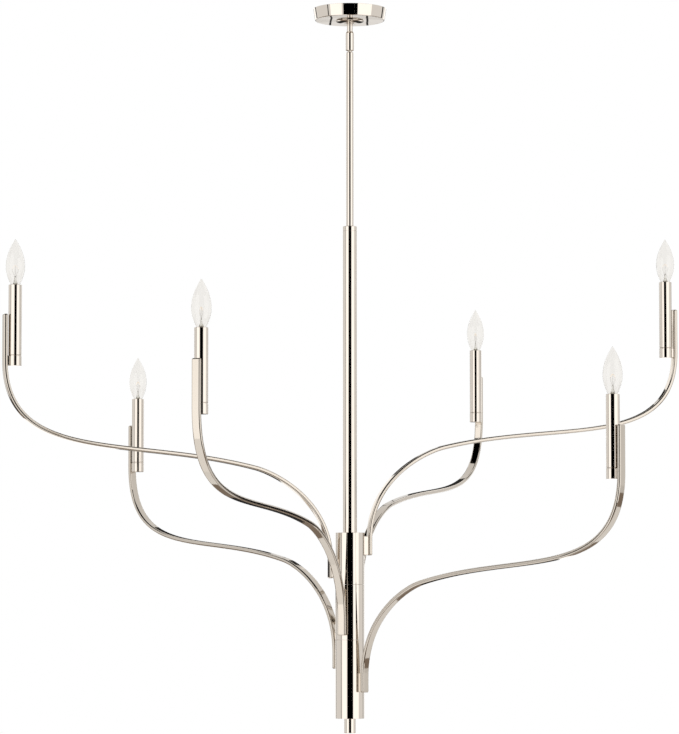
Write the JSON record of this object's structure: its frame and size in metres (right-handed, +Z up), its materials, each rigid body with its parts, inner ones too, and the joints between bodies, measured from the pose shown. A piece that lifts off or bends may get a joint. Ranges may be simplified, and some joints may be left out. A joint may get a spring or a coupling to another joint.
{
  "type": "multi arm chandelier",
  "caption": "Rigid-stem chandelier in polished nickel: flat S-bent arms rise from stacked hub collars on a centre column and carry slim candle lamps under a swivel and ceiling canopy.",
  "frame": {"origin": "centre of the canopy's rim, on the ceiling plane, on the stem's axis", "axes": "+Z up, away from the room and into the ceiling; the stem hangs along -Z; +X to the right of the side the fixture is seen from, with the viewer towards -Y"},
  "size_m": [1.1683, 1.1377, 1.2562],
  "materials": {
    "polished_nickel": "polished nickel plate on steel and brass, warm mirror finish",
    "zinc_steel": "zinc plated, satin",
    "ground_green": "green plated ground screw",
    "brass": "plain, satin",
    "socket_white": "glazed white lamp socket",
    "bulb_glass": "clear thin glass"
  },
  "bodies": {
    "ceiling_mount": {"crossbar": "zinc_steel", "nipple": "polished_nickel", "nipple_lock_nut": "zinc_steel", "box_screw_1": "zinc_steel", "box_screw_2": "zinc_steel", "ground_screw": "ground_green"},
    "canopy": {"canopy": "polished_nickel", "canopy_collar": "polished_nickel"},
    "swivel": {"swivel_housing": "polished_nickel"},
    "stem": {"swivel_stud": "polished_nickel", "rod": "polished_nickel", "rod_coupler": "brass", "tube_cap": "polished_nickel", "centre_tube": "polished_nickel", "inner_pipe": "zinc_steel", "hub_nut": "zinc_steel"},
    "upper_pair": {"hub_upper": "polished_nickel", "arm_1": "polished_nickel", "cup_1": "polished_nickel", "socket_1": "socket_white", "sleeve_1": "polished_nickel", "arm_2": "polished_nickel", "cup_2": "polished_nickel", "socket_2": "socket_white", "sleeve_2": "polished_nickel"},
    "middle_pair": {"hub_middle": "polished_nickel", "arm_3": "polished_nickel", "cup_3": "polished_nickel", "socket_3": "socket_white", "sleeve_3": "polished_nickel", "arm_4": "polished_nickel", "cup_4": "polished_nickel", "socket_4": "socket_white", "sleeve_4": "polished_nickel"},
    "lower_pair": {"hub_lower": "polished_nickel", "arm_5": "polished_nickel", "cup_5": "polished_nickel", "socket_5": "socket_white", "sleeve_5": "polished_nickel", "arm_6": "polished_nickel", "cup_6": "polished_nickel", "socket_6": "socket_white", "sleeve_6": "polished_nickel"},
    "finial": {"finial": "polished_nickel"},
    "bulb_1": {"bulb_base_1": "brass", "bulb_glass_1": "bulb_glass"},
    "bulb_2": {"bulb_base_2": "brass", "bulb_glass_2": "bulb_glass"},
    "bulb_3": {"bulb_base_3": "brass", "bulb_glass_3": "bulb_glass"},
    "bulb_4": {"bulb_base_4": "brass", "bulb_glass_4": "bulb_glass"},
    "bulb_5": {"bulb_base_5": "brass", "bulb_glass_5": "bulb_glass"},
    "bulb_6": {"bulb_base_6": "brass", "bulb_glass_6": "bulb_glass"}
  },
  "joints": [
    {"name": "canopy_drop", "type": "slide", "parent": "ceiling_mount", "child": "canopy", "axis": [0, 0, -1], "range_m": [0, 0.0135]},
    {"name": "swivel_turn", "type": "hinge", "parent": "ceiling_mount", "child": "swivel", "pos_m": [0, 0, -0.0695], "axis": [0, 0, 1], "range_deg": [-90, 90]},
    {"name": "stem_tilt", "type": "hinge", "parent": "swivel", "child": "stem", "pos_m": [0, 0, -0.0695], "axis": [0, 1, 0], "range_deg": [-15, 15]},
    {"name": "upper_pair_turn", "type": "hinge", "parent": "stem", "child": "upper_pair", "pos_m": [0, 0, -1.05], "axis": [0, 0, 1], "range_deg": [-15, 15]},
    {"name": "middle_pair_turn", "type": "hinge", "parent": "stem", "child": "middle_pair", "pos_m": [0, 0, -1.05], "axis": [0, 0, 1], "range_deg": [-15, 15]},
    {"name": "lower_pair_turn", "type": "hinge", "parent": "stem", "child": "lower_pair", "pos_m": [0, 0, -1.05], "axis": [0, 0, 1], "range_deg": [-15, 15]},
    {"name": "finial_unscrew", "type": "slide", "parent": "stem", "child": "finial", "axis": [0, 0, -1], "range_m": [0, 0.014]},
    {"name": "bulb_1_unscrew", "type": "slide", "parent": "upper_pair", "child": "bulb_1", "axis": [0, 0, 1], "range_m": [0, 0.022]},
    {"name": "bulb_2_unscrew", "type": "slide", "parent": "upper_pair", "child": "bulb_2", "axis": [0, 0, 1], "range_m": [0, 0.022]},
    {"name": "bulb_3_unscrew", "type": "slide", "parent": "middle_pair", "child": "bulb_3", "axis": [0, 0, 1], "range_m": [0, 0.022]},
    {"name": "bulb_4_unscrew", "type": "slide", "parent": "middle_pair", "child": "bulb_4", "axis": [0, 0, 1], "range_m": [0, 0.022]},
    {"name": "bulb_5_unscrew", "type": "slide", "parent": "lower_pair", "child": "bulb_5", "axis": [0, 0, 1], "range_m": [0, 0.022]},
    {"name": "bulb_6_unscrew", "type": "slide", "parent": "lower_pair", "child": "bulb_6", "axis": [0, 0, 1], "range_m": [0, 0.022]}
  ]
}
